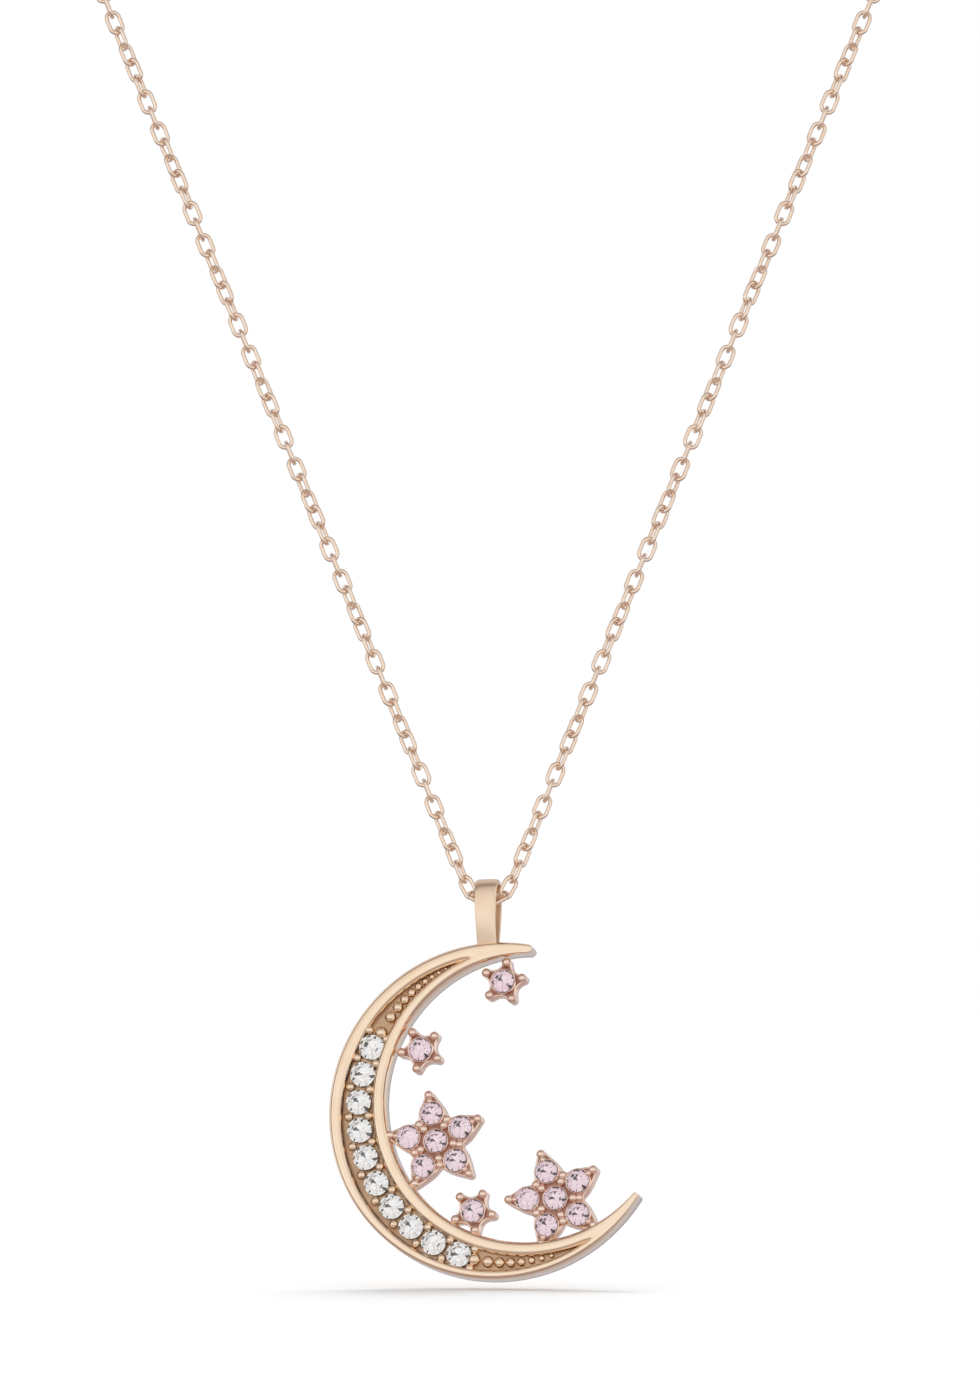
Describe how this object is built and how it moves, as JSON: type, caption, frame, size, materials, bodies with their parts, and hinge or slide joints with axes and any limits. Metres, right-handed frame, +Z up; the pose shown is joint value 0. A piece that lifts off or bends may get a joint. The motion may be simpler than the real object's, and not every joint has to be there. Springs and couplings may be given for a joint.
{
  "type": "pendant necklace",
  "caption": "Crescent moon pendant with stone-set stars on a fine twisted cable chain, closed at the nape by a spring ring clasp.",
  "frame": {"origin": "middle of the neck opening, in the plane of the back of the chain loop", "axes": "+Z up, -Y towards a person who faces the wearer, +X to that person's right"},
  "size_m": [0.0952, 0.0831, 0.1559],
  "materials": {
    "pendant_metal": "polished rose gold plate",
    "chain_metal": "polished rose gold plate",
    "clasp_metal": "polished rose gold plate",
    "spring_steel": "drawn spring wire",
    "white_stone": "round brilliant, colourless",
    "pink_stone": "round brilliant, pale pink"
  },
  "bodies": {
    "neck_loop": {"neck_chain_left_lower": "chain_metal", "neck_chain_left_middle": "chain_metal", "neck_chain_left_upper": "chain_metal", "neck_chain_right_lower": "chain_metal", "neck_chain_right_middle": "chain_metal", "neck_chain_right_upper": "chain_metal"},
    "front_strands": {"front_chain_left_lower": "chain_metal", "front_chain_left_middle": "chain_metal", "front_chain_left_upper": "chain_metal", "front_chain_right_lower": "chain_metal", "front_chain_right_middle": "chain_metal", "front_chain_right_upper": "chain_metal"},
    "bail_links": {"bail_links": "chain_metal"},
    "pendant": {"bail": "pendant_metal", "crescent_frame": "pendant_metal", "large_star_left": "pendant_metal", "large_star_left_stone_1": "pink_stone", "large_star_left_stone_2": "pink_stone", "large_star_left_stone_3": "pink_stone", "large_star_left_stone_4": "pink_stone", "large_star_left_stone_5": "pink_stone", "large_star_left_stone_centre": "pink_stone", "large_star_right": "pendant_metal", "large_star_right_stone_1": "pink_stone", "large_star_right_stone_2": "pink_stone", "large_star_right_stone_3": "pink_stone", "large_star_right_stone_4": "pink_stone", "large_star_right_stone_5": "pink_stone", "large_star_right_stone_centre": "pink_stone", "small_star_bottom": "pendant_metal", "small_star_bottom_stone_centre": "pink_stone", "small_star_left": "pendant_metal", "small_star_left_stone_centre": "pink_stone", "small_star_top": "pendant_metal", "small_star_top_stone_centre": "pink_stone", "white_stone_01": "white_stone", "white_stone_02": "white_stone", "white_stone_03": "white_stone", "white_stone_04": "white_stone", "white_stone_05": "white_stone", "white_stone_06": "white_stone", "white_stone_07": "white_stone", "white_stone_08": "white_stone", "white_stone_09": "white_stone", "white_stone_10": "white_stone"},
    "clasp": {"clasp_ring": "clasp_metal", "clasp_spring": "spring_steel"},
    "clasp_bolt": {"clasp_bolt": "clasp_metal"},
    "jump_ring": {"jump_ring": "clasp_metal"},
    "end_ring": {"end_ring": "clasp_metal"}
  },
  "joints": [
    {"name": "strands_swing", "type": "hinge", "parent": "neck_loop", "child": "front_strands", "pos_m": [0, -0.01897, -0.02294], "axis": [-1, 0, 0], "range_deg": [0, 60]},
    {"name": "pendant_swing", "type": "hinge", "parent": "front_strands", "child": "bail_links", "pos_m": [0, -0.03677, -0.11898], "axis": [-1, 0, 0], "range_deg": [-30, 45]},
    {"name": "pendant_turn", "type": "hinge", "parent": "bail_links", "child": "pendant", "pos_m": [0, -0.03682, -0.11927], "axis": [0, 0.1822, 0.9833], "range_deg": [-6, 27]},
    {"name": "jump_ring_swing", "type": "hinge", "parent": "neck_loop", "child": "jump_ring", "pos_m": [0, 0.03997, 0.01455], "axis": [1, 0, 0], "range_deg": [-10, 10]},
    {"name": "clasp_swing", "type": "hinge", "parent": "jump_ring", "child": "clasp", "pos_m": [0, 0.03997, 0.01455], "axis": [1, 0, 0], "range_deg": [-14, 14]},
    {"name": "clasp_bolt_slide", "type": "hinge", "parent": "clasp", "child": "clasp_bolt", "pos_m": [0.00109, 0.03997, 0.01455], "axis": [0, -0.9397, -0.342], "range_deg": [0, 40], "stiffness_Nm_per_rad": 0.0004, "springref_deg": -20.05, "deforming": ["clasp_spring"]},
    {"name": "end_ring_swing", "type": "hinge", "parent": "neck_loop", "child": "end_ring", "pos_m": [0, 0.03997, 0.01455], "axis": [1, 0, 0], "range_deg": [-8, 8]}
  ]
}
